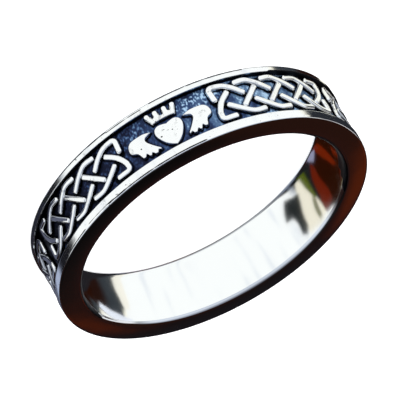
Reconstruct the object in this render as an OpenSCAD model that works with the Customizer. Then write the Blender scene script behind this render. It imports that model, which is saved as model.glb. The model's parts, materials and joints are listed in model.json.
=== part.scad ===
// Finger ring cast in one piece: a band with two raised rails and a sunk channel between them.
// The channel holds raised work: a crowned heart between two hands, and six panels of a
// four-strand plait. The ring lies on its side, crown edge down, with the axis of the finger along Z.
// The heart faces -Y.

/* [Band] */
// Inside diameter of the ring
bore_d = 17.8; // [14:0.1:22]
// Width of the band along the finger
band_w = 4.27; // [4.2:0.01:4.5]
// Thickness of the metal at the rails
wall = 1.7; // [1.2:0.05:2]
// Radius that eases the two inner edges
inner_round = 0.3; // [0.1:0.05:0.5]
// Bevel on the two outer edges
outer_bevel = 0.09; // [0.03:0.01:0.2]

/* [Rails and channel] */
// Width of the rail below the crown
crown_rail_w = 0.43; // [0.3:0.01:0.44]
// Width of the rail below the point of the heart
heart_rail_w = 0.69; // [0.6:0.01:0.74]
// Depth of the channel below the rails
channel_depth = 0.36; // [0.2:0.02:0.5]
// How far the raised work stays below the rails
relief_drop = 0.08; // [0.04:0.01:0.15]

/* [Plait] */
// Plait panels on each side of the heart
panels_a_side = 3; // [1:3]
// Angle round the ring from one crossing to the next in its row
pitch = 10.6; // [9.8:0.1:10.7]
// Crossings in the middle row of a panel
middle_crossings = 5; // [3:5]
// Width of one strand
strand_w = 0.38; // [0.28:0.01:0.38]
// Height of a strand's turn above and below the middle row
half_rise = 1.18; // [1.1:0.01:1.2]
// Angle from the heart to the middle of the first panel
first_panel = 41.6; // [41.2:0.1:43]
// Angle from the middle of one panel to the next
panel_step = 53.8; // [52.5:0.1:54.5]

/* [Hidden] */

bore_r = bore_d / 2;
outer_r = bore_r + wall;
floor_r = outer_r - channel_depth;
relief_r = outer_r - relief_drop;
// Height of the plait's middle row, and of the line that the heart is drawn from
mid_h = 0.4535 * band_w;
// Raised work starts this far under the channel's floor
root_depth = 0.2;
heart_angle = -90;
pitch_len = relief_r * pitch * PI / 180;
turn_steps = 3;
end_steps = 3;

// Paths of single strands. Columns: distance along the band in pitches from the strand's own
// crossing, and height as a share of half_rise, where -1 is the crown side.
bar_path = [[0.29, -0.47], [-0.29, 0.47]];
turn_path = [
    [0.32, -0.28], [-0.02, -0.68], [-0.32, -0.95], [-0.50, -1.00], [-0.77, -0.95]
];
// Two strands turn a square corner at the near end of a panel. Each is a curve up to the corner,
// and then the corner and the strand's far end.
crown_corner_curve = [
    [0.32, -0.29], [0.05, -0.66], [-0.20, -0.91], [-0.45, -1.00]
];
crown_corner = [[-0.745, -1.01], [-0.70, -0.26]];
heart_corner_curve = [
    [0.28, -0.47], [0.05, -0.14], [-0.12, 0.21], [-0.225, 0.58]
];
heart_corner = [[-0.25, 1.02], [0.20, 1.00]];
// Radius of a strand's middle line at those corners
corner_r = 0.21;

// Half outline of the heart, from the notch to the point. Columns: distance from the middle line,
// and height above the plait's middle row, both in millimetres.
heart_half = [
    [0.00, -0.17], [0.22, -0.24], [0.58, -0.28], [0.86, -0.12], [0.955, 0.17],
    [0.90, 0.46], [0.75, 0.79], [0.53, 1.11], [0.26, 1.36], [0.00, 1.51]
];
// Outline of the hand beside the heart: thumb tip first, over the cuff, then finger by finger.
// Columns: distance from the hand's middle away from the heart, and height, in millimetres.
hand_angle = 10.4;
hand_outline = [
    [-0.81, -0.15], [-0.39, -0.28], [-0.07, -0.31], [0.51, -0.29], [0.77, -0.14],
    [0.90, 0.12], [0.90, 0.37], [0.80, 0.53], [0.53, 0.68], [0.42, 0.87],
    [0.31, 1.15], [0.15, 1.17], [0.02, 1.03],
    [-0.09, 1.23], [-0.22, 1.27], [-0.33, 1.15],
    [-0.47, 1.32], [-0.66, 1.33], [-0.75, 1.18],
    [-0.89, 1.25], [-0.94, 1.13],
    [-0.75, 0.91], [-0.48, 0.58], [-0.31, 0.31], [-0.29, 0.12], [-0.39, 0.02], [-0.59, -0.04]
];
// The crown's measures, in millimetres from its middle line and from the plait's middle row
crown_base_w = 1.45;
crown_base_h = -0.50;
crown_shoulder_h = -0.64;
crown_notch_h = -0.94;
crown_tip_h = -1.13;
crown_flare = 1.03;
middle_notch_r = 0.156;
side_notch_r = 0.105;
side_notch_x = 0.573;
outer_tip_x = 0.86;

// A point on the smooth curve through b and c, where a and d are the points beside them
function between(a, b, c, d, t) =
    0.5 * (2 * b + (c - a) * t + (2 * a - 5 * b + 4 * c - d) * t * t
        + (3 * b - a - 3 * c + d) * t * t * t);

// A smooth curve through all the points of a path that has two ends
function smooth(path, steps) = let (last = len(path) - 1) concat(
    [for (i = [0 : last - 1], s = [0 : steps - 1])
        between(path[max(i - 1, 0)], path[i], path[i + 1], path[min(i + 2, last)], s / steps)],
    [path[last]]);

function unit(v) = v / norm(v);

// A vector turned by an angle
function turned_by(v, a) = [v.x * cos(a) - v.y * sin(a), v.x * sin(a) + v.y * cos(a)];

// The arc of radius r that rounds the corner at b on the way from a to c
function rounded_corner(a, b, c, r, steps = 4) = let (
    u = unit(a - b), v = unit(c - b), half = acos(u * v) / 2,
    centre = b + unit(u + v) * r / sin(half),
    start = b + u * r / tan(half) - centre,
    sweep = (180 - 2 * half) * (cross(u, v) > 0 ? -1 : 1)
) [for (i = [0 : steps]) centre + turned_by(start, sweep * i / steps)];

// A smooth curve, then a rounded corner, then a straight end
function cornered(curve, corner) = concat(
    smooth(curve, turn_steps),
    rounded_corner(curve[len(curve) - 1], corner[0], corner[1], corner_r),
    [corner[1]]);

// The direction of a path at one of its points
function heading(path, i) =
    unit(path[min(i + 1, len(path) - 1)] - path[max(i - 1, 0)]);

// Points of a half circle round a strand's end, from its left side to its right
function round_end(centre, ahead, r) = [
    for (i = [1 : end_steps]) centre + r * turned_by(ahead, 90 - 180 * i / (end_steps + 1))];

// The closed outline of a strand of width w along a path, with round ends
function strand_outline(path, w) = let (last = len(path) - 1, r = w / 2) concat(
    [for (i = [0 : last]) let (h = heading(path, i)) path[i] + r * [-h.y, h.x]],
    round_end(path[last], heading(path, last), r),
    [for (i = [last : -1 : 0]) let (h = heading(path, i)) path[i] - r * [-h.y, h.x]],
    round_end(path[0], -heading(path, 0), r));

function arc(centre, r, from, to, steps = 4) = [
    for (i = [0 : steps]) let (a = from + (to - from) * i / steps)
        centre + r * [cos(a), sin(a)]];

function mirrored(points) = [for (i = [len(points) - 1 : -1 : 0]) [-points[i].x, points[i].y]];

// A path's pitches and shares as millimetres. side is -1 to mirror it along the band,
// and turned is -1 to turn it half round.
function in_mm(path, side, turned) =
    [for (p = path) [side * turned * p.x * pitch_len, turned * p.y * half_rise]];

// Raises a flat outline out of the channel's floor at an angle round the ring
module raised(angle) {
    rotate([0, 0, heart_angle + angle])
        rotate([90, 0, 90])
            translate([0, mid_h, floor_r - root_depth])
                linear_extrude(height = channel_depth + root_depth) children();
}

// Cuts what it is given to the height of the raised work
module to_relief_height() {
    intersection() {
        cylinder(h = band_w, r = relief_r, $fn = 180);
        union() children();
    }
}

module strand(angle, side, path) {
    raised(side * angle) polygon(strand_outline(path, strand_w));
}

// One panel of plait, on the side of the heart that side gives, with its middle at an angle
module plait_panel(angle, side) {
    reach = (middle_crossings - 1) / 2;
    for (k = [1 - reach : reach - 1])
        strand(angle + k * pitch, side, in_mm(bar_path, side, 1));
    for (turned = [1, -1]) {
        for (k = [1 - reach : reach - 1])
            strand(angle + (k + turned / 2) * pitch, side,
                smooth(in_mm(turn_path, side, turned), turn_steps));
        strand(angle - turned * (reach - 0.5) * pitch, side,
            cornered(in_mm(crown_corner_curve, side, turned), in_mm(crown_corner, side, turned)));
        strand(angle - turned * reach * pitch, side,
            cornered(in_mm(heart_corner_curve, side, turned), in_mm(heart_corner, side, turned)));
    }
}

module heart() {
    half = smooth(heart_half, 2);
    raised(0)
        polygon(concat(half, [for (p = mirrored(half)) if (abs(p.x) > 0.001) p]));
}

// The crown over the heart: four prongs with round tips on a curved base
module crown() {
    half = concat(
        arc([0, crown_notch_h], middle_notch_r, 90, 0),
        arc([side_notch_x / 2 + middle_notch_r / 2 - side_notch_r / 2, crown_tip_h],
            (side_notch_x - side_notch_r - middle_notch_r) / 2, 180, 360),
        arc([side_notch_x, crown_notch_h], side_notch_r, 180, 0),
        arc([outer_tip_x, crown_tip_h], outer_tip_x - side_notch_x - side_notch_r, 180, 320),
        [[crown_flare, crown_tip_h + 0.05], [crown_base_w / 2, crown_shoulder_h],
         [crown_base_w / 2, crown_base_h], [crown_base_w / 4, crown_base_h - 0.03],
         [0, crown_base_h - 0.04]]);
    raised(0)
        polygon(concat(half, [for (p = mirrored(half)) if (abs(p.x) > 0.001) p]));
}

module hand(side) {
    raised(side * hand_angle)
        polygon([for (p = hand_outline) [side * p.x, p.y]]);
}

// Section through the band, from the finger outwards and from the crown edge upwards
module band_section() {
    difference() {
        polygon([
            [bore_r, 0], [outer_r - outer_bevel, 0], [outer_r, outer_bevel],
            [outer_r, crown_rail_w], [floor_r, crown_rail_w],
            [floor_r, band_w - heart_rail_w], [outer_r, band_w - heart_rail_w],
            [outer_r, band_w - outer_bevel], [outer_r - outer_bevel, band_w], [bore_r, band_w]
        ]);
        eased_edge(0, inner_round);
        eased_edge(band_w - inner_round, band_w - inner_round);
    }
}

// The corner that easing an inner edge takes away. low is the corner square's lowest height.
module eased_edge(low, centre_h) {
    difference() {
        translate([bore_r - 0.1, low - (low > 0 ? 0 : 0.1)])
            square([inner_round + 0.1, inner_round + 0.1]);
        translate([bore_r + inner_round, centre_h])
            circle(r = inner_round, $fn = 48);
    }
}

module band() {
    color("silver") {
        rotate_extrude($fn = 180) band_section();
        to_relief_height() {
            heart();
            crown();
            hand(1);
            hand(-1);
        }
        for (side = [1, -1], n = [0 : panels_a_side - 1])
            to_relief_height() plait_panel(first_panel + n * panel_step, side);
    }
}

band();
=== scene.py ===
import json

import bmesh
import bpy
import numpy as np
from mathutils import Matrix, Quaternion, Vector


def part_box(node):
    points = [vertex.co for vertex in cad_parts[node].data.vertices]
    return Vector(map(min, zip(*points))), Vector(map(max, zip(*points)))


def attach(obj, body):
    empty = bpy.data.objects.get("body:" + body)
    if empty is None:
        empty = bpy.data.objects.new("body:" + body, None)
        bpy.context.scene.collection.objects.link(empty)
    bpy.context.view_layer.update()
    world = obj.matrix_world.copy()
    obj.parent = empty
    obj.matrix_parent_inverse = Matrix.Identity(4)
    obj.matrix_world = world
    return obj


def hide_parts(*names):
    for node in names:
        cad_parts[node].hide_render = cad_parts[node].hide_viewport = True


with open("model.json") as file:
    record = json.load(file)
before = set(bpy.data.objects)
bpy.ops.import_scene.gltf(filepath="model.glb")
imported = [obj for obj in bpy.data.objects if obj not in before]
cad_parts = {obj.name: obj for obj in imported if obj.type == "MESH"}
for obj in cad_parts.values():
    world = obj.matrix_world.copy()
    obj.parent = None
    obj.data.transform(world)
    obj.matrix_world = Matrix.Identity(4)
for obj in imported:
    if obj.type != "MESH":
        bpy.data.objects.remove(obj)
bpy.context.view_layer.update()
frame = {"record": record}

# Shank: the hoop of the ring, cast in silver and polished by hand. Its two raised rails, its side
# faces and its slightly domed bore are bright, and the channel between the rails is blackened.
# Hand polishing has let the rails droop a little towards their outer edges.
MM = 0.001
bore = next(m for m in frame["record"]["mounts"] if m["name"] == "finger_bore")
bore_r = bore["dims"]["r_mm"] * MM
band_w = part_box("band")[1][2]
wall = 1.7 * MM
channel_depth, relief_drop = 0.36 * MM, 0.08 * MM
outer_r = bore_r + wall
floor_r = outer_r - channel_depth
relief_r = outer_r - relief_drop
# The hoop's own channel runs a little deeper than the ground that is laid in it
sunk_r = floor_r - 0.06 * MM
mid_h = 0.4535 * band_w
crown_rail_w = 0.43 * MM
heart_rail_w = 0.69 * MM
heart_side_z = band_w - heart_rail_w
heart_angle = -np.pi / 2
inner_round, outer_round, rail_edge_round = 0.3 * MM, 0.09 * MM, 0.03 * MM
bore_dome = 0.115 * MM
crown_rail_droop, heart_rail_droop = 0.022 * MM, 0.026 * MM
side_droop, side_crown = 0.034 * MM, 0.0136 * MM
around, bore_steps = 600, 14


def eased(corners, arc_steps=6):
    """Closed outline with rounded corners. A corner is x, y, radius and the steps along the side that
    follows. Its arc touches both sides: the centre lies on the corner's middle line, radius over the
    sine of half the angle away."""
    xy = np.array([c[:2] for c in corners], float)
    r = np.array([c[2] for c in corners], float)[:, None]
    back = np.roll(xy, 1, 0) - xy
    on = np.roll(xy, -1, 0) - xy
    back /= np.linalg.norm(back, axis=1, keepdims=True)
    on /= np.linalg.norm(on, axis=1, keepdims=True)
    half = np.arccos(np.clip((back * on).sum(1, keepdims=True), -1, 1)) / 2
    middle = back + on
    middle /= np.linalg.norm(middle, axis=1, keepdims=True)
    centre = xy + middle * r / np.sin(half)
    start = xy + back * r / np.tan(half) - centre
    end = xy + on * r / np.tan(half) - centre
    t = np.linspace(0, 1, arc_steps + 1)[None, :, None]
    swing = (np.pi - 2 * half)[:, None]
    arcs = (start[:, None] * np.sin((1 - t) * swing) + end[:, None] * np.sin(t * swing)) / np.sin(swing)
    arcs += centre[:, None]
    sides = [np.linspace(arcs[k, -1], arcs[(k + 1) % len(arcs), 0], corners[k][3] + 1)[1:-1]
             for k in range(len(arcs))]
    return np.concatenate([part for k in range(len(arcs)) for part in (arcs[k], sides[k])])


def ringwise(radius, angle, height):
    """Cylinder coordinates to x, y, z: radius times cosine and sine of the angle, and the height."""
    return np.stack(np.broadcast_arrays(radius * np.cos(angle), radius * np.sin(angle), height), -1)


def cast(name, grids, tones, material):
    """One closed mesh from grids of points, each with a tone per point for its polish and painted light.
    A grid is rows by columns by x, y, z and says whether its rows and its columns run back to the first.
    Grids face outwards by the sign of their volume: the sum over triangles of corner dot corner cross
    corner."""
    verts, faces, count = [], [], 0
    for points, rows_close, cols_close in grids:
        rows, cols = points.shape[:2]
        i = np.arange(rows if rows_close else rows - 1)[:, None]
        j = np.arange(cols if cols_close else cols - 1)[None, :]
        i2, j2 = (i + 1) % rows, (j + 1) % cols
        quads = np.stack([i * cols + j, i2 * cols + j, i2 * cols + j2, i * cols + j2], -1).reshape(-1, 4)
        flat = points.reshape(-1, 3)
        a, b, c, d = (flat[quads[:, n]] for n in range(4))
        volume = (a * np.cross(b, c)).sum() + (a * np.cross(c, d)).sum()
        faces.append((quads if volume > 0 else quads[:, ::-1]) + count)
        verts.append(flat)
        count += len(flat)
    mesh = bpy.data.meshes.new(name)
    mesh.from_pydata(np.concatenate(verts).tolist(), [], np.concatenate(faces).tolist())
    polish_and_painted_light = mesh.attributes.new("polish_and_painted_light", "FLOAT", "POINT")
    polish_and_painted_light.data.foreach_set("value", np.concatenate([t.reshape(-1) for t in tones]).astype(np.float32))
    shell = bmesh.new()
    shell.from_mesh(mesh)
    bmesh.ops.remove_doubles(shell, verts=shell.verts, dist=1e-8)
    shell.to_mesh(mesh)
    shell.free()
    mesh.polygons.foreach_set("use_smooth", np.ones(len(mesh.polygons), bool))
    mesh.materials.append(material)
    mesh.update()
    piece = bpy.data.objects.new(name, mesh)
    bpy.context.scene.collection.objects.link(piece)
    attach(piece, "root")
    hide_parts("band")
    return piece


def wire(tree, kind, props=None, **inputs):
    """A new shader node. props are set on the node, and inputs on its sockets, as values or links."""
    node = tree.nodes.new("ShaderNode" + kind)
    for key, value in (props or {}).items():
        setattr(node, key, value)
    for key, value in inputs.items():
        socket = node.inputs[int(key[1:])] if key[1:].isdigit() else node.inputs[key.replace("_", " ")]
        if isinstance(value, bpy.types.NodeSocket):
            tree.links.new(value, socket)
        else:
            socket.default_value = value
    return node


def maths(tree, operation, *values):
    """One sum, product or the like of one to three values."""
    inputs = {f"_{n}": value for n, value in enumerate(values)}
    return wire(tree, "Math", {"operation": operation}, **inputs).outputs[0]


def noise(tree, place, scale, detail, **more):
    """Cloudy variation from 0 to 1. scale is in cells to one unit of the place, a metre on the ring."""
    return wire(tree, "TexNoise", Vector=place, Scale=scale, Detail=detail, **more).outputs["Fac"]


def eased_step(tree, value, low, high):
    """0 below low and 1 above high, with a smooth rise between them."""
    return wire(tree, "MapRange", {"interpolation_type": "SMOOTHSTEP"}, Value=value,
                From_Min=low, From_Max=high).outputs[0]


def blend(tree, share, first, second):
    """The first colour at share 0 and the second at share 1."""
    return wire(tree, "MixRGB", Fac=share, Color1=first, Color2=second).outputs[0]


def bare_material(name):
    """A new material and its empty node tree."""
    material = bpy.data.materials.new(name)
    material.use_nodes = True
    material.node_tree.nodes.clear()
    return material, material.node_tree


def silver_material():
    """Cast silver. Where the polish attribute is about 1 it is bright, with the fine pits, smudges and
    scratches of handwork, and where it is about 2 only the scratches stay. Where it is low it is
    blackened; some low places are painted shade, as said where they are set."""
    material, tree = bare_material("polished_blackened_silver_and_painted_shade")
    place = wire(tree, "TexCoord").outputs["Object"]
    polish_and_painted_light = wire(tree, "Attribute", {"attribute_name": "polish_and_painted_light"}).outputs["Fac"]
    ragged_edge = maths(tree, "MULTIPLY_ADD", noise(tree, place, 9000.0, 3.0), 0.3, polish_and_painted_light)
    bright = eased_step(tree, ragged_edge, 0.56, 0.72)
    buffed = wire(tree, "MapRange", Value=polish_and_painted_light, From_Min=1.2, From_Max=1.5, To_Min=0.0, To_Max=0.3)
    smudges = maths(tree, "SUBTRACT", noise(tree, place, 1300.0, 5.0, Roughness=0.7), buffed.outputs[0])
    smudged = eased_step(tree, smudges, 0.57, 0.72)
    clean = blend(tree, smudged, (0.95, 0.955, 0.95, 1), (0.60, 0.61, 0.62, 1))
    pits = maths(tree, "SUBTRACT", noise(tree, place, 3300.0, 3.0, Roughness=0.6), buffed.outputs[0])
    clean = blend(tree, eased_step(tree, pits, 0.665, 0.72), clean, (0.16, 0.16, 0.17, 1))
    cloud = noise(tree, place, 1500.0, 5.0)
    dark = blend(tree, cloud, (0.004, 0.004, 0.006, 1), (0.012, 0.013, 0.02, 1))
    colour = blend(tree, bright, dark, clean)
    rough = wire(tree, "MapRange", Value=bright, To_Min=0.5, To_Max=0.1).outputs[0]
    waves = noise(tree, place, 420.0, 1.0)
    scratches = noise(tree, place, 5200.0, 4.0, Distortion=0.6)
    soft_bump = wire(tree, "Bump", Strength=0.3, Distance=0.00003, Height=waves).outputs[0]
    fine_bump = wire(tree, "Bump", Strength=0.1, Distance=0.000006, Height=scratches, Normal=soft_bump)
    surface = wire(tree, "BsdfPrincipled", Base_Color=colour, Metallic=1.0, Roughness=rough,
                   Normal=fine_bump.outputs[0])
    wire(tree, "OutputMaterial", Surface=surface.outputs[0])
    return material


def stretch(angle, first, last, taper):
    """1 between two angles, falling straight to 0 over the taper inside each end."""
    return np.clip((angle - first) / taper, 0, 1) * np.clip((last - angle) / taper, 0, 1)


silver = silver_material()
# Section through the hoop. Columns: radius, height, radius of the corner, and steps to the next one
profile = eased([
    (bore_r, 0, inner_round, 4), (outer_r, 0, outer_round, 16),
    (outer_r, crown_rail_w, rail_edge_round, 2), (sunk_r, crown_rail_w, rail_edge_round / 2, 2),
    (sunk_r, heart_side_z, rail_edge_round / 2, 2), (outer_r, heart_side_z, rail_edge_round, 20),
    (outer_r, band_w, outer_round, 12), (bore_r, band_w, inner_round, bore_steps),
])
# A fine crease parts the bore from its upper eased edge: the bore's wall runs up past the first sixth
# of the arc and meets it there at an angle. A second row close below keeps the crease crisp.
crease_height, crease_guard = 0.010 * MM, 0.004 * MM
crease = len(profile) - bore_steps
profile[crease] = bore_r, profile[crease - 1, 1] - crease_height
profile = np.insert(profile, crease + 1, profile[crease] - [0, crease_guard], axis=0)
hoop_r, hoop_z = profile[:, 0].copy(), profile[:, 1].copy()
across_wall = np.clip((hoop_r - (bore_r + outer_r) / 2) / (wall / 2), -1, 1)
near_top = np.clip((hoop_z - (band_w - inner_round)) / inner_round, 0, 1)
hoop_z -= (side_droop * (1 + across_wall) + side_crown * across_wall ** 2) * near_top
near_bore = np.clip(1 - (hoop_r - bore_r) / (0.4 * MM), 0, 1)
hoop_r += bore_dome * near_bore * (2 * profile[:, 1] / band_w - 1) ** 2
on_rail = np.clip(1 - (outer_r - profile[:, 0]) / (0.15 * MM), 0, 1)
hoop_r -= crown_rail_droop * on_rail * np.clip(1 - profile[:, 1] / crown_rail_w, 0, 1)
hoop_r -= heart_rail_droop * on_rail * np.clip((profile[:, 1] - heart_side_z) / heart_rail_w, 0, 1)
in_channel = (profile[:, 1] > crown_rail_w - rail_edge_round / 2) & (profile[:, 0] > sunk_r - 1e-9)
in_channel &= profile[:, 1] < heart_side_z + rail_edge_round / 2
up_the_wall = np.clip((profile[:, 0] - floor_r) / (outer_r - floor_r), 0, 1)
hoop_polish = np.where(in_channel, up_the_wall ** 3, 1.0)
hoop_polish[~in_channel & (profile[:, 0] < outer_r - outer_round)] += 1
turn = np.linspace(0, 2 * np.pi, around, endpoint=False)[:, None]
turned = np.degrees(np.angle(np.exp(1j * (turn - heart_angle))))
# Dark lines along the rails, and last a stretch of the crown rail's channel edge painted dark as shade.
# Columns: height on the band and half width in millimetres, first and last angle from the heart, and
# depth of the darkening
dark_rail_lines = np.array([
    [4.13, 0.075, -10.0, 31.0, 1.0], [4.055, 0.045, 27.0, 42.0, 0.9], [4.125, 0.070, 42.0, 66.0, 1.0],
    [0.09, 0.045, -34.0, 3.0, 0.9], [0.16, 0.045, 4.0, 20.0, 0.9], [0.09, 0.050, 18.0, 50.0, 1.0],
    [0.12, 0.030, 118.0, 151.0, 0.6], [4.09, 0.045, -141.0, -104.0, 0.8],
    # Painted shade on the crown rail's channel edge
    [0.43, 0.090, -104.0, -42.0, 1.6],
])
marked = np.ones((around, len(profile)))
mark_taper, strength_points = 1.5, 260
line_strength = np.random.default_rng(3).uniform(0.55, 1.15, strength_points)
uneven_strength = np.interp(turn, np.linspace(0, 2 * np.pi, strength_points), line_strength)
for mark_z, mark_half, first, last, depth in dark_rail_lines:
    across = np.exp(-((profile[None, :, 1] / MM - mark_z) / mark_half) ** 2)
    across *= profile[None, :, 0] > relief_r
    marked -= depth * uneven_strength * stretch(turned, first, last, mark_taper) * across
# Painted dark reflection: the upper inner edge is painted dark over two stretches, and the dark runs out
# in
# points. Columns: first and last angle from the heart, and how far down the bore the dark reaches in
# millimetres
painted_dark_edge_stretches = [(60.0, 112.0, 0.6), (-113.0, -54.0, 1.0)]
edge_taper, edge_blur, edge_depth = 14, 0.05, 0.85
down = (band_w - profile[None, :, 1]) / MM
on_edge = (profile[None, :, 1] > mid_h) & (profile[None, :, 0] < bore_r + inner_round)
for first, last, reach in painted_dark_edge_stretches:
    length = stretch(turned, first, last, edge_taper)
    darkened = np.clip((length * reach - down) / edge_blur + 1, 0, 1) * (length > 0)
    marked -= edge_depth * on_edge * darkened
cast("shank", [(ringwise(hoop_r[None], turn, hoop_z[None]), True, True)],
     [hoop_polish[None] * np.clip(marked, 0, 1)], silver)

# Plait: round cast strands that weave over and under each other, in three panels on each side of
# the heart. Each strand shows as a bar from one dive to the next. Their tops are polished flat.
pitch = np.radians(10.6)
pitch_len = relief_r * pitch
half_rise = 1.18 * MM
foot_r = floor_r - 0.03 * MM
middle_crossings, panels_a_side = 5, 3
first_panel = np.radians(41.6)
panel_step = np.radians(53.8)
corner_r = 0.21 * MM
# On the crown's side, bars that lie between these angles left of the heart are darker and duller
dull_from, dull_to, dull_depth = 44, 66, 0.30
# Columns: distance from the strand's own crossing in pitches, and height as a share of half_rise
bar_path = [[0.29, -0.47], [-0.29, 0.47]]
turn_path = [[0.32, -0.28], [-0.02, -0.68], [-0.32, -0.95], [-0.50, -1.00], [-0.77, -0.95]]
crown_corner_curve = [[0.32, -0.29], [0.05, -0.66], [-0.20, -0.91], [-0.45, -1.00]]
crown_corner = [[-0.745, -1.01], [-0.70, -0.26]]
heart_corner_curve = [[0.28, -0.47], [0.05, -0.14], [-0.12, 0.21], [-0.225, 0.58]]
heart_corner = [[-0.25, 1.02], [0.20, 1.00]]


def smooth(path, steps=10):
    """A curve through all the points of a path: on each stretch, the cubic whose slope at an end is
    half the way between that end's neighbours."""
    path = np.asarray(path, float)
    p = np.concatenate([path[:1], path, path[-1:]])
    a, b, c, d = p[:-3, None], p[1:-2, None], p[2:-1, None], p[3:, None]
    t = np.linspace(0, 1, steps, endpoint=False)[None, :, None]
    curve = 2 * b + (c - a) * t + (2 * a - 5 * b + 4 * c - d) * t ** 2 + (3 * b - a - 3 * c + d) * t ** 3
    return np.concatenate([curve.reshape(-1, 2) / 2, path[-1:]])


def cornered(curve, corner, r, steps=10):
    """A smooth curve, then an arc of radius r that rounds the corner, then a straight end."""
    lead, (b, c) = smooth(curve), np.asarray(corner, float)
    u, v = lead[-1] - b, c - b
    u, v = u / np.linalg.norm(u), v / np.linalg.norm(v)
    half = np.arccos(u @ v) / 2
    centre = b + (u + v) / np.linalg.norm(u + v) * r / np.sin(half)
    start, end = b + u * r / np.tan(half) - centre, b + v * r / np.tan(half) - centre
    t, swing = np.linspace(0, 1, steps + 1)[:, None], np.pi - 2 * half
    arc_part = (start * np.sin((1 - t) * swing) + end * np.sin(t * swing)) / np.sin(swing)
    return np.concatenate([lead, centre + arc_part, c[None]])


def wrapped(flat, angle, rise):
    """Bends a flat layout round the ring: x becomes an angle of x over the relief's radius, y a
    height from the middle row, and rise runs from the foot to the top of the raised work."""
    return ringwise(foot_r + (relief_r - foot_r) * rise, heart_angle + angle + flat[..., 0] / relief_r,
                    mid_h + flat[..., 1])


def dome(share, power=2.6):
    """Height of a rounded shoulder: rises from 0 at share 0 to 1 at share 1, as a superellipse."""
    return (1 - (1 - np.clip(share, 0, 1)) ** power) ** (1 / power)


def strand_line(path, width, stations=44):
    """Points along the middle of a strand, closer at its ends, with the way run at each one."""
    r = width / 2
    ahead, behind = path[-1] - path[-2], path[0] - path[1]
    path = np.concatenate([[path[0] + behind / np.linalg.norm(behind) * r], path,
                           [path[-1] + ahead / np.linalg.norm(ahead) * r]])
    run = np.concatenate([[0], np.cumsum(np.linalg.norm(np.diff(path, axis=0), axis=1))])
    s = run[-1] * (1 - np.cos(np.linspace(0, np.pi, stations))) / 2
    return np.stack([np.interp(s, run, path[:, k]) for k in (0, 1)], 1), s


def strand_grid(path, angle, width, steps=17, square=4.0):
    """A flat-topped bar along a path. Its ends are half circles seen from above, and run down to the
    foot. A section is a superellipse over the top and a flat line below."""
    centre, s = strand_line(path, width)
    r = width / 2
    heading = np.gradient(centre, s + np.arange(len(s)) * 1e-12, axis=0)
    heading /= np.linalg.norm(heading, axis=1, keepdims=True)
    normal = np.stack([-heading[:, 1], heading[:, 0]], 1)
    to_end = np.minimum(s, s[-1] - s) / r
    half = r * np.sqrt(1 - (1 - np.clip(to_end, 0, 1)) ** 2)
    crest = dome(to_end / 0.6, 2.0) * (0.95 + 0.05 * np.clip(to_end / 3, 0, 1))
    phi = np.linspace(0, np.pi, steps)
    side = np.sign(np.cos(phi)) * np.abs(np.cos(phi)) ** (2 / square)
    up = np.sin(phi) ** (2 / square)
    side = np.concatenate([side, np.linspace(-1, 1, 5)[1:-1]])
    up = np.concatenate([up, np.zeros(3)])
    flat = centre[:, None] + normal[:, None] * (half[:, None] * side)[..., None]
    rise = crest[:, None] * up
    place = np.degrees(angle + flat[..., 0] / relief_r)
    dulled = np.clip((place - dull_from) / 10, 0, 1) * np.clip((dull_to - place) / 4, 0, 1)
    dulled *= np.clip(0.4 - flat[..., 1] / MM, 0, 1)
    return (wrapped(flat, angle, rise), False, True), rise * (1 - dull_depth * dulled)


def panel_strands(middle, side):
    """All strands of one panel, as path and angle. side is -1 on the right of the heart."""
    reach = (middle_crossings - 1) / 2
    inner = np.arange(1 - reach, reach)

    def laid(points, turned):
        return np.asarray(points) * [side * turned * pitch_len, turned * half_rise]

    strands = [(laid(bar_path, 1), side * (middle + k * pitch)) for k in inner]
    for turned in (1, -1):
        strands += [(smooth(laid(turn_path, turned)), side * (middle + (k + turned / 2) * pitch))
                    for k in inner]
        strands.append((cornered(laid(crown_corner_curve, turned), laid(crown_corner, turned), corner_r),
                        side * (middle - turned * (reach - 0.5) * pitch)))
        strands.append((cornered(laid(heart_corner_curve, turned), laid(heart_corner, turned), corner_r),
                        side * (middle - turned * reach * pitch)))
    return strands


# Lines that the raised work stands on, laid flat as distance along the band and height, each with the
# half width of what stands on it
feet = []
for side, side_name, strand_w in ((1, "left", 0.385 * MM), (-1, "right", 0.41 * MM)):
    for n in range(panels_a_side):
        strands = panel_strands(first_panel + n * panel_step, side)
        grids, rises = zip(*[strand_grid(path, angle, strand_w) for path, angle in strands])
        cast(f"plait_{side_name}_{n + 1}", grids, rises, silver)
        feet += [(strand_line(path, strand_w)[0] + [angle * relief_r, 0], strand_w / 2)
                 for path, angle in strands]

# Heart: a solid cushion shape with a shallow notch, its point towards the wide rail. It is part of
# the casting, and its top is polished flat like the strands.
heart_half = MM * np.array([
    [0.00, -0.17], [0.22, -0.24], [0.58, -0.28], [0.86, -0.12], [0.955, 0.17],
    [0.90, 0.46], [0.75, 0.79], [0.53, 1.11], [0.26, 1.36], [0.00, 1.51],
])
# Painted shade: grey spots on the raised work where shallow dimples would be shaded. Columns: distance
# along the band and height from the piece's middle, half width, half height, and depth
dimple_shade_spots = {
    "heart": [[-0.15, 0.45, 0.09, 0.08, 0.72], [0.10, 0.34, 0.15, 0.05, 0.66],
              [0.34, 0.19, 0.16, 0.06, 0.66], [0.64, 0.55, 0.12, 0.10, 0.66]],
    "hand_left": [[0.17, 0.55, 0.09, 0.08, 0.72]],
}


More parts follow.
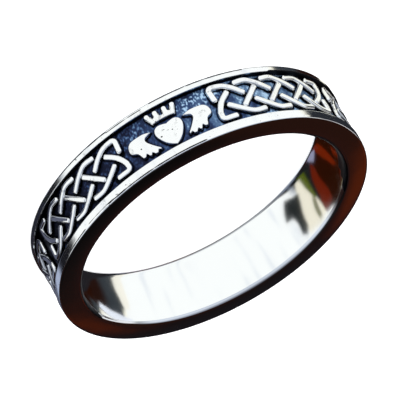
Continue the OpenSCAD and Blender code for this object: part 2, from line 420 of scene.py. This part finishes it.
def raised_piece(name, low, high, shoulder, angle, both_edges, rows=34):
    """A cushion between two curves of equal length, bent round the ring and closed below by its own
    flat copy. Height is a rounded shoulder over the distance to the nearest edge. Without both_edges
    the low curve is the shape's middle, and rows come closer together towards the high one."""
    t = np.linspace(0, 1, rows)[:, None, None]
    v = (1 - np.cos(np.pi * t)) / 2 if both_edges else 1 - (1 - t) ** 2.4
    flat = low[None] * (1 - v) + high[None] * v
    a = np.concatenate([low, high[::-1]]) if both_edges else high
    along = np.roll(a, -1, 0) - a
    gap = flat[:, :, None] - a
    share = np.clip((gap * along).sum(-1) / np.maximum((along ** 2).sum(1), 1e-18), 0, 1)
    rise = dome(np.linalg.norm(gap - share[..., None] * along, axis=-1).min(-1) / shoulder)
    top, under = wrapped(flat, angle, rise), wrapped(flat[::-1], angle, np.zeros_like(rise))
    tone = rise.copy()
    # Painted shade of shallow dimples, laid into the tone
    for x, height, half_x, half_height, depth in dimple_shade_spots.get(name, []):
        off = (flat / MM - [x, height]) / [half_x, half_height]
        tone -= depth * np.exp(-(off ** 2).sum(-1))
    tones = [np.concatenate([tone, np.zeros_like(rise)])]
    cast(name, [(np.concatenate([top, under]), True, False)], tones, silver)
    feet.append((a + [angle * relief_r, 0], 0))
    feet.append((flat.reshape(-1, 2)[::3] + [angle * relief_r, 0], 0.02 * MM))


half_line = smooth(heart_half, 8)
heart_line = np.concatenate([half_line, half_line[-2::-1] * [-1, 1]])
heart_middle = np.broadcast_to([0.0, 0.45 * MM], heart_line.shape)
raised_piece("heart", heart_middle, heart_line, 0.085 * MM, 0, False)

# Crown: a curved base with four prongs, over the heart. It is cast with the band and polished.
crown_base_w, crown_base_h = 1.47 * MM, -0.50 * MM
# Half of the crown's top line, from the middle notch outwards
half_top = smooth(MM * np.array([
    [0.00, -0.83], [0.10, -0.87], [0.150, -0.98], [0.135, -1.12], [0.17, -1.26], [0.31, -1.32],
    [0.45, -1.26], [0.485, -1.13], [0.475, -1.00], [0.515, -0.91], [0.575, -0.885], [0.64, -0.915],
    [0.685, -1.01], [0.685, -1.14], [0.73, -1.27], [0.86, -1.33], [1.00, -1.28], [1.05, -1.16],
    [0.98, -1.00],
]), 5)
crown_top = np.concatenate([half_top[:0:-1] * [-1, 1], half_top])
base_x = crown_top[:, 0] / crown_top[-1, 0] * crown_base_w / 2
sag = 0.04 * MM * (1 - (2 * base_x / crown_base_w) ** 2)
raised_piece("crown", np.stack([base_x, crown_base_h - sag], 1), crown_top, 0.06 * MM, 0, True)

# Hands: one on each side, thumb towards the heart and fingers below. They are part of the casting.
# Columns: distance from the hand's middle away from the heart, and height, in millimetres.
hand_angle = np.radians(10.4)
hand_points = MM * np.array([
    [-0.84, -0.15], [-0.40, -0.30], [-0.07, -0.33], [0.51, -0.31], [0.79, -0.15],
    [0.92, 0.12], [0.92, 0.37], [0.82, 0.54], [0.55, 0.69], [0.44, 0.88],
    [0.33, 1.17], [0.15, 1.19], [0.02, 1.05], [-0.09, 1.25], [-0.22, 1.29], [-0.33, 1.17],
    [-0.47, 1.34], [-0.66, 1.35], [-0.76, 1.20], [-0.91, 1.27], [-0.96, 1.14],
    [-0.76, 0.90], [-0.50, 0.57], [-0.33, 0.31], [-0.31, 0.13], [-0.40, 0.03], [-0.59, -0.03],
])
hand_line = smooth(np.concatenate([hand_points, hand_points[:1]]), 6)
hand_middle = np.broadcast_to(np.array([0.2, 0.22]) * MM, hand_line.shape)
for side, side_name in ((1, "left"), (-1, "right")):
    raised_piece(f"hand_{side_name}", hand_middle * [side, 1], hand_line * [side, 1], 0.07 * MM,
                 side * hand_angle, False)

# Channel floor: the sunk ground behind the raised work. It was stippled with a punch and blackened. The
# black is deepest round the feet of the raised work, with painted shade there too, and some grains are
# painted bright, as rubbed wear and painted highlights.
floor_rows, floor_cols = 1500, 54
grain_height, floor_thickness, tuck = 0.014 * MM, 0.05 * MM, 0.02 * MM


def hills(rows, cols, spread, seed):
    """Smooth random hills from -1 to 1: seeded noise, averaged spread times with its neighbours
    round the ring and across it."""
    field = np.random.default_rng(seed).normal(size=(rows, cols))
    for axis in (0, 1) * spread:
        field = (np.roll(field, 1, axis) + 2 * field + np.roll(field, -1, axis)) / 4
    return np.clip(field / (2.2 * field.std()), -1, 1)


def ramp(tree, value, low, high, stops):
    """Colours along a value that runs from low to high. Each stop is a place and a colour."""
    share = wire(tree, "MapRange", Value=value, From_Min=low, From_Max=high)
    band = wire(tree, "ValToRGB", Fac=share.outputs[0])
    points = band.color_ramp.elements
    while len(points) < len(stops):
        points.new(0.5)
    for point, (where, colour) in zip(points, stops):
        point.position = (where - low) / (high - low)
        point.color = (*colour, 1)
    return band.outputs[0]


def ground_material():
    """Blackened silver with a blue cast, from black where the polish attribute is 0 through slate blue
    to pale blue grains where it is 1, which show rubbed wear and painted highlights."""
    material, tree = bare_material("stippled_blue_black_ground")
    place = wire(tree, "TexCoord").outputs["Object"]
    rubbed_and_painted_light = wire(tree, "Attribute", {"attribute_name": "polish_and_painted_light"}).outputs["Fac"]
    cloud = noise(tree, place, 7000.0, 4.0, Roughness=0.6)
    uneven = maths(tree, "MULTIPLY_ADD", cloud, 0.4, -0.2)
    tone = maths(tree, "ADD", maths(tree, "MULTIPLY", uneven, rubbed_and_painted_light), rubbed_and_painted_light)
    # The pale end of the ramp shows rubbed metal and painted highlights
    colour = ramp(tree, tone, 0, 1, [
        (0.0, (0.003, 0.004, 0.006)), (0.25, (0.0150, 0.0185, 0.044)), (0.5, (0.046, 0.081, 0.192)),
        (0.75, (0.155, 0.265, 0.44)), (1.0, (0.54, 0.76, 1.0))])
    fine = noise(tree, place, 11000.0, 2.0)
    bump = wire(tree, "Bump", Strength=0.4, Distance=0.00002, Height=fine).outputs[0]
    surface = wire(tree, "BsdfPrincipled", Base_Color=colour, Metallic=1.0, Roughness=0.42, Normal=bump)
    wire(tree, "OutputMaterial", Surface=surface.outputs[0])
    return material


floor_turn = np.linspace(0, 2 * np.pi, floor_rows, endpoint=False)[:, None]
floor_z = np.linspace(crown_rail_w - tuck, heart_side_z + tuck, floor_cols)[None, :]
offset = np.angle(np.exp(1j * (floor_turn - heart_angle)))
spots = np.stack(np.broadcast_arrays(offset * relief_r, floor_z - mid_h), -1)
to_foot = np.full(spots.shape[:2], 1.0)
for line, half_width in feet:
    wraps = 2 * np.pi * relief_r * np.round((line[:, 0].mean() - spots[..., 0]) / (2 * np.pi * relief_r))
    shifted = spots + np.stack([wraps, 0 * wraps], -1)
    near = np.abs(shifted[:, 0, 0] - line[:, 0].mean()) < np.ptp(line[:, 0]) / 2 + 0.5 * MM
    gap = np.linalg.norm(shifted[near][:, :, None] - line, axis=-1).min(-1) - half_width
    to_foot[near] = np.minimum(to_foot[near], gap)
to_foot = np.minimum(to_foot, np.minimum(floor_z - crown_rail_w, heart_side_z - floor_z))
turned = np.degrees(offset)
# Width of the black round the feet, blackening with painted shade, and the open ground's paleness,
# rubbed wear with painted reflection, by angle from the heart
halo = np.interp(turned, [-70, -50, -22, 5, 20], [0.060, 0.036, 0.040, 0.060, 0.068]) * MM
ground_tone = np.interp(turned, [-180, -95, -60, -45, -28, -21, -15, 0, 22, 45, 75, 180],
                        [0.25, 0.50, 0.74, 0.78, 0.62, 0.40, 0.50, 0.38, 0.24, 0.12, 0.08, 0.2])
# Black round the feet of the raised work: blackening with painted shade
open_ground = 1 - np.exp(-(np.clip(to_foot, 0, 1) / halo) ** 3)
grains, clouds = hills(floor_rows, floor_cols, 1, 5), hills(floor_rows, floor_cols, 24, 8)
# Beside the crown the grains are painted bright as rubbed wear and painted highlights: strongly on the
# right and a little on the left
right_patch = np.exp(-((turned + 13.0) / 6.5) ** 2 - ((floor_z / band_w - 0.25) / 0.11) ** 2)
left_patch = np.exp(-((turned - 12) / 9) ** 2) * np.clip(2.2 - 3.4 * floor_z / band_w, 0, 1)
tone = ground_tone * (1 + 0.35 * clouds)
tone += (0.2 + 0.12 * clouds + 0.3 * left_patch) * np.clip(grains + 0.15, 0, 1)
tone += 1.05 * right_patch * np.clip(2.4 * (grains - 0.02), 0, 1)
tone = np.clip(open_ground * tone, 0, 1)
top = ringwise(floor_r + grain_height * grains, floor_turn, floor_z)
under = ringwise(floor_r - floor_thickness, floor_turn, floor_z[:, [-1, 0]])
cast("channel_floor", [(np.concatenate([top, under], 1), True, True)],
     [np.concatenate([tone, np.zeros((floor_rows, 2))], 1)], ground_material())

# Camera: a long lens that looks down at the ring from 28.5 degrees above its side face, rolled by 150
# degrees to the photograph's framing
camera_azimuth, camera_elevation = np.radians(-86.2), np.radians(28.5)
camera_roll = np.radians(150.0)
camera_distance, aim_height = 0.3707, 2.06 * MM
lens, sensor_w, frame_pixels = 540, 36, 400
# Size of one pixel at the ring
pixel = camera_distance * sensor_w / lens / frame_pixels
frame_right, frame_up = 0.6 * pixel, 3.97 * pixel
camera_data = bpy.data.cameras.new("camera")
camera_data.lens = lens
camera_data.sensor_width = sensor_w
camera_data.clip_start, camera_data.clip_end = 0.01, 10
camera = bpy.data.objects.new("camera", camera_data)
bpy.context.scene.collection.objects.link(camera)
back = Vector((np.cos(camera_elevation) * np.cos(camera_azimuth),
               np.cos(camera_elevation) * np.sin(camera_azimuth), np.sin(camera_elevation)))
camera.rotation_mode = "QUATERNION"
camera.rotation_quaternion = (-back).to_track_quat("-Z", "Y") @ Quaternion((0, 0, 1), camera_roll)
aim_shift = camera.rotation_quaternion @ Vector((frame_right, frame_up, 0))
camera.location = Vector((0, 0, aim_height)) + aim_shift + back * camera_distance
bpy.context.scene.camera = camera

# Floor: a plain white table top that the ring lies on. A hair's gap keeps it clear of the ring's
# lower face, and polished metal doesn't show it.
table_half, table_gap = 2.0, 0.01 * MM
floor_mesh = bpy.data.meshes.new("floor")
table_corners = [(x * table_half, y * table_half, 0) for x, y in ((-1, -1), (1, -1), (1, 1), (-1, 1))]
floor_mesh.from_pydata(table_corners, [], [(0, 1, 2, 3)])
table_top = bpy.data.objects.new("floor", floor_mesh)
bpy.context.scene.collection.objects.link(table_top)
table_top.location.z = -table_gap
table_top.visible_glossy = False
floor_paint, tree = bare_material("white_table")
floor_shader = wire(tree, "BsdfPrincipled", Base_Color=(0.9, 0.9, 0.9, 1), Roughness=0.8,
                    Emission_Color=(1, 1, 1, 1), Emission_Strength=0.6)
wire(tree, "OutputMaterial", Surface=floor_shader.outputs[0])
floor_mesh.materials.append(floor_paint)

# Light: a pale studio. Metal shows it by direction: bright below the horizon in front of the ring,
# dark flags at both sides, grey overhead, and a dark wall behind with two warm red-brown glows.
studio = bpy.data.worlds.new("studio")
bpy.context.scene.world = studio
studio.use_nodes = True
tree = studio.node_tree
tree.nodes.clear()
toward = wire(tree, "TexCoord").outputs["Generated"]
front_way = (float(np.cos(camera_azimuth)), float(np.sin(camera_azimuth)), 0)
left_way = (-front_way[1], front_way[0], 0)
mirror_way = (-front_way[0] * np.cos(camera_elevation), -front_way[1] * np.cos(camera_elevation),
              np.sin(camera_elevation))


def share_along(tree, toward, way):
    """How far one way runs along another: the dot product of the two unit vectors."""
    return wire(tree, "VectorMath", {"operation": "DOT_PRODUCT"}, _0=toward, _1=way).outputs["Value"]


# Yaw runs from the front, positive to the left, and pitch up from the horizon. Both are in degrees.
left_part = share_along(tree, toward, left_way)
front_part = share_along(tree, toward, front_way)
mirror_part = share_along(tree, toward, mirror_way)
yaw = maths(tree, "DEGREES", maths(tree, "ARCTAN2", left_part, front_part))
height_part = wire(tree, "SeparateXYZ", _0=toward).outputs["Z"]
pitch_up = maths(tree, "DEGREES", maths(tree, "ARCSINE", height_part))
behind = maths(tree, "ABSOLUTE", yaw)
white, pale, cream = (0.97, 1.0, 1.0), (0.72, 0.77, 0.84), (1.0, 0.97, 0.80)
charcoal, near_black, brown_black = (0.035, 0.042, 0.05), (0.010, 0.010, 0.013), (0.017, 0.006, 0.004)
blue_grey, red_brown, top_grey = (0.38, 0.44, 0.60), (0.075, 0.012, 0.003), (0.06, 0.06, 0.08)

# Below the horizon: white in front, dark flags at both sides, and soft folds in the white sheet
later = maths(tree, "MULTIPLY_ADD", eased_step(tree, pitch_up, -27, -23), 7.2, yaw)
right_low = ramp(tree, later, -180, 0, [
    (-180, brown_black), (-130, brown_black), (-121, charcoal), (-103.5, charcoal), (-102, cream),
    (-98, white)])
slanted = maths(tree, "MULTIPLY_ADD", pitch_up, -1.8, yaw)
left_low = ramp(tree, slanted, 0, 360, [
    (0, white), (136, white), (143, near_black), (168, near_black), (176, blue_grey), (196, blue_grey),
    (203, near_black), (224, near_black), (230, pale)])
left_flag = maths(tree, "MULTIPLY", eased_step(tree, pitch_up, -20, -16), eased_step(tree, yaw, 94, 102))
left_low = blend(tree, left_flag, left_low, (*near_black, 1))
low = blend(tree, eased_step(tree, yaw, -1, 1), right_low, left_low)
sheet_place = wire(tree, "CombineXYZ", X=maths(tree, "DIVIDE", yaw, 9.0),
                   Y=maths(tree, "DIVIDE", pitch_up, 30.0)).outputs[0]
folds = maths(tree, "MULTIPLY", eased_step(tree, noise(tree, sheet_place, 1.0, 2.0), 0.54, 0.70), 0.28)
soft_sheet = blend(tree, folds, low, (0.42, 0.50, 0.66, 1))
low = blend(tree, eased_step(tree, behind, 95, 80), low, soft_sheet)
below = blend(tree, eased_step(tree, behind, 80, 105), (0.5, 0.52, 0.55, 1), (*charcoal, 1))
deep = blend(tree, eased_step(tree, pitch_up, -66, -50), below, low)

# Above the horizon in front: white that greys towards the ceiling
high_front = ramp(tree, pitch_up, -10, 90, [
    (-10, white), (0, (0.85, 0.90, 0.97)), (28, (0.62, 0.68, 0.78)), (55, (0.30, 0.33, 0.40)),
    (90, top_grey)])

# Above the horizon behind: a dark wall with two warm glows, a pale sill at its foot, and a glint
wall_tone = ramp(tree, pitch_up, 0, 90, [
    (0, (0.03, 0.012, 0.010)), (9, (0.02, 0.010, 0.008)), (18, near_black), (26, (0.006, 0.004, 0.004)),
    (29, (0.010, 0.0055, 0.005)), (32, (0.005, 0.004, 0.004)), (36, (0.002, 0.002, 0.002)),
    (70, (0.03, 0.028, 0.03)), (90, top_grey)])
wall_right = maths(tree, "MULTIPLY", eased_step(tree, left_part, -0.010, -0.045),
                   eased_step(tree, pitch_up, 26.5, 29.0))
wall_tone = blend(tree, wall_right, wall_tone, (*brown_black, 1))
glow_low = maths(tree, "MULTIPLY", eased_step(tree, pitch_up, 21.5, 24.0), eased_step(tree, yaw, 1, -1))
glow_low = maths(tree, "MAXIMUM", glow_low, eased_step(tree, pitch_up, 24.6, 26.0))
glow = maths(tree, "MULTIPLY", glow_low, eased_step(tree, pitch_up, 27.5, 26.5))
glow = maths(tree, "MULTIPLY", glow, eased_step(tree, behind, 178.0, 176.5))
high_back = blend(tree, glow, wall_tone, (*red_brown, 1))
sill = maths(tree, "MULTIPLY", eased_step(tree, pitch_up, 9, 4), eased_step(tree, behind, 166, 174))
high_back = blend(tree, sill, high_back, (0.50, 0.36, 0.36, 1))
lip = maths(tree, "MULTIPLY", eased_step(tree, mirror_part, 0.9982, 0.9996),
            eased_step(tree, pitch_up, 28.2, 29.6))
high_back = blend(tree, lip, high_back, (0.034, 0.009, 0.009, 1))
glint = maths(tree, "MULTIPLY", eased_step(tree, yaw, -152, -144), eased_step(tree, yaw, -94, -102))
glint = maths(tree, "MULTIPLY", glint, eased_step(tree, pitch_up, 4, 9))
glint = maths(tree, "MULTIPLY", glint, eased_step(tree, pitch_up, 26, 20))
high_back = blend(tree, glint, high_back, (0.80, 0.82, 0.86, 1))
high = blend(tree, eased_step(tree, behind, 80, 108), high_front, high_back)
around_ring = blend(tree, eased_step(tree, pitch_up, -8, 0), deep, high)
seen = wire(tree, "LightPath").outputs["Is Camera Ray"]
studio_light = wire(tree, "Background", Color=around_ring, Strength=1.05)
plain_light = wire(tree, "Background", Color=(1, 1, 1, 1), Strength=1.0)
shown = wire(tree, "MixShader", Fac=seen, _1=studio_light.outputs[0], _2=plain_light.outputs[0])
wire(tree, "OutputWorld", Surface=shown.outputs[0])

# A soft lamp overhead, which polished metal doesn't show
lamp_data = bpy.data.lights.new("softbox", "AREA")
lamp_data.shape = "DISK"
lamp_data.size = 0.5
lamp_data.energy = 4.0
lamp = bpy.data.objects.new("softbox", lamp_data)
lamp.location = (-0.05, -0.12, 0.6)
lamp.rotation_euler = (-Vector(lamp.location)).to_track_quat("-Z", "Y").to_euler()
lamp.visible_glossy = False
bpy.context.scene.collection.objects.link(lamp)
bpy.context.scene.view_settings.view_transform = "Standard"

# Cards: small coloured sheets below the table, which only polished metal shows. The near ones lie close
# under it, for both ends of the band and the left end of the bore. The far ones show as patches in the
# bore.
near_level, far_level = -0.3, -8.0
arc_step, wall_rounds = 12, 6


def arc_round(radius, first, last):
    """Corners of an arc round the ring's middle, about arc_step degrees apart."""
    count = max(round(abs(last - first) / arc_step), 1) + 1
    return [[radius, angle] for angle in np.linspace(first, last, count)]


def laid_out(corners):
    """Radius and angle from the front to distances to the front and to the left: radius times the
    cosine and the sine of the angle."""
    radius, angle = np.array(corners, float).T
    return np.stack([radius * np.cos(np.radians(angle)), radius * np.sin(np.radians(angle))], 1)


def shown_in_bore(level, places):
    """Corners of a sheet at a level, for it to show in the bore at some places in the frame. The view
    through a place is followed to the bore's far wall, mirrored there and followed down to the level.
    It meets the wall where its distance from the axis is the radius, a quadratic in its reach. That is
    solved a few times over, as the dome's radius changes with height."""
    right, down = (np.array(places, float).T + 0.5) / frame_pixels - 0.5
    ahead = np.full(len(places), lens / sensor_w)
    way = np.stack([right, -down, -ahead], 1) @ np.array(camera.rotation_quaternion.to_matrix()).T
    way /= np.linalg.norm(way, axis=1, keepdims=True)
    eye, radius = np.array(camera.location), bore_r
    a, b = (way[:, :2] ** 2).sum(1), way[:, :2] @ eye[:2]
    for _ in range(wall_rounds):
        reach = (np.sqrt(b ** 2 - a * (eye[:2] @ eye[:2] - radius ** 2)) - b) / a
        met = eye + way * reach[:, None]
        up_wall = 2 * met[:, 2] / band_w - 1
        radius = bore_r + bore_dome * up_wall ** 2
    inward = np.column_stack([-met[:, :2] / radius[:, None], 4 * bore_dome * up_wall / band_w])
    inward /= np.linalg.norm(inward, axis=1, keepdims=True)
    mirrored = way - 2 * (way * inward).sum(1, keepdims=True) * inward
    landed = met + mirrored * ((level * MM - met[:, 2]) / mirrored[:, 2])[:, None]
    return landed[:, :2] @ np.array([front_way[:2], left_way[:2]]).T / MM


# Near cards. Columns: distance from the ring's middle in millimetres, and angle from the front. The
# shield keeps the far cards out of the left end of the band.
shield = arc_round(10.62, 54, 150) + arc_round(12.1, 150, 54)
veil = arc_round(12.1, 54, 150) + arc_round(15.2, 150, 54)
lit = arc_round(11.6, -50, -95) + arc_round(15.2, -95, -50)
unlit = arc_round(15.4, -78, -96) + arc_round(10.62, -97, -150) + arc_round(26.0, -150, -78)
hole = [[8.5, 108], [8.4, 118], [8.35, 124], [8.4, 129], [8.6, 133], [9.4, 136], [10.0, 140],
        [10.55, 135], [10.55, 120], [10.55, 108]]
cards = [
    ("shield", (0.018, 0.020, 0.030), near_level, laid_out(shield)),
    ("veil", (0.10, 0.11, 0.16), near_level, laid_out(veil)),
    ("hole_shield", (0.016, 0.015, 0.018), near_level - 0.05, laid_out(hole)),
    ("plait_card", (0.98, 1.0, 0.93), near_level, laid_out(lit)),
    ("right_shield", (0.022, 0.025, 0.032), near_level, laid_out(unlit)),
]
# Far cards. Columns: colour, height in millimetres, and corners as places in the frame, in pixels to
# the right and down. Places just outside the bore carry a patch past its edge.
patches = {
    "dark_card": ((0.013, 0.016, 0.017), far_level + 0.2, [
        (283, 201), (291, 197), (297, 193), (300, 202), (303, 214), (308, 225), (308, 234), (303, 234),
        (298, 223), (293, 218), (286, 223)]),
    "cream_card": ((0.90, 0.86, 0.72), far_level, [
        (294, 183), (301, 177), (310, 192), (316, 197), (323, 204), (327, 211), (320, 223), (310, 233),
        (303, 216), (298, 200)]),
    "black_card": ((0.009, 0.011, 0.013), far_level + 0.2, [
        (295, 158), (309, 161), (311, 177), (316, 188), (321, 198), (316, 197), (307, 185), (293, 173)]),
    "olive_card": ((0.08, 0.11, 0.006), far_level + 0.3, [
        (294, 174), (303, 172), (309, 183), (316, 195), (314, 198), (305, 188)]),
    "tan_card": ((0.19, 0.19, 0.11), far_level + 0.3, [
        (311, 197), (315, 198), (322, 214), (320, 219), (315, 210)]),
    "brown_card": ((0.020, 0.004, 0.001), far_level, [
        (351, 194), (336, 201), (327, 211), (316, 196), (291, 150), (314, 134)]),
    "red_card": ((0.15, 0.014, 0.002), far_level + 0.1, [
        (311, 143), (317, 143), (327, 152), (336, 163), (333, 165), (323, 158), (313, 150)]),
    "rust_card": ((0.13, 0.012, 0.003), far_level + 0.1, [
        (309, 163), (314, 167), (319, 177), (328, 188), (332, 197), (329, 207), (326, 210), (318, 196),
        (312, 180)]),
    "blue_card": ((0.28, 0.29, 0.42), far_level + 0.3, [
        (308, 146), (313, 147), (314, 153), (313, 161), (309, 162), (305, 154)]),
    "edge_card": ((0.97, 0.95, 0.85), far_level, [
        (109, 265), (111, 278), (114, 288), (120, 301), (124, 309), (129, 309), (128, 301), (123, 288),
        (120, 278), (119, 265)]),
    "white_card": ((0.85, 0.90, 1.0), far_level, [
        (99, 302), (99, 311), (100, 318), (113, 331), (133, 328), (133, 320), (121, 315), (111, 310)]),
}
# The brown one runs on past all that the bore shows: distances in millimetres to the front and the left
run_on = {"brown_card": [(-19, -3), (-48, -5), (-48, 24)]}
for name, (colour, level, places) in patches.items():
    corners = [*shown_in_bore(level, places), *run_on.get(name, [])]
    cards.append((name, colour, level, corners))
for name, colour, level, corners in cards:
    spread = (np.array(corners) * MM) @ np.array([front_way[:2], left_way[:2]])
    points = np.hstack([spread, np.full((len(spread), 1), level * MM)])
    card_mesh = bpy.data.meshes.new(name)
    card_mesh.from_pydata(points.tolist(), [], [tuple(range(len(points)))])
    card = bpy.data.objects.new(name, card_mesh)
    bpy.context.scene.collection.objects.link(card)
    card.visible_camera = card.visible_diffuse = card.visible_shadow = False
    paper, tree = bare_material(name)
    shine = wire(tree, "Emission", Color=(*colour, 1), Strength=1.0)
    wire(tree, "OutputMaterial", Surface=shine.outputs[0])
    card_mesh.materials.append(paper)
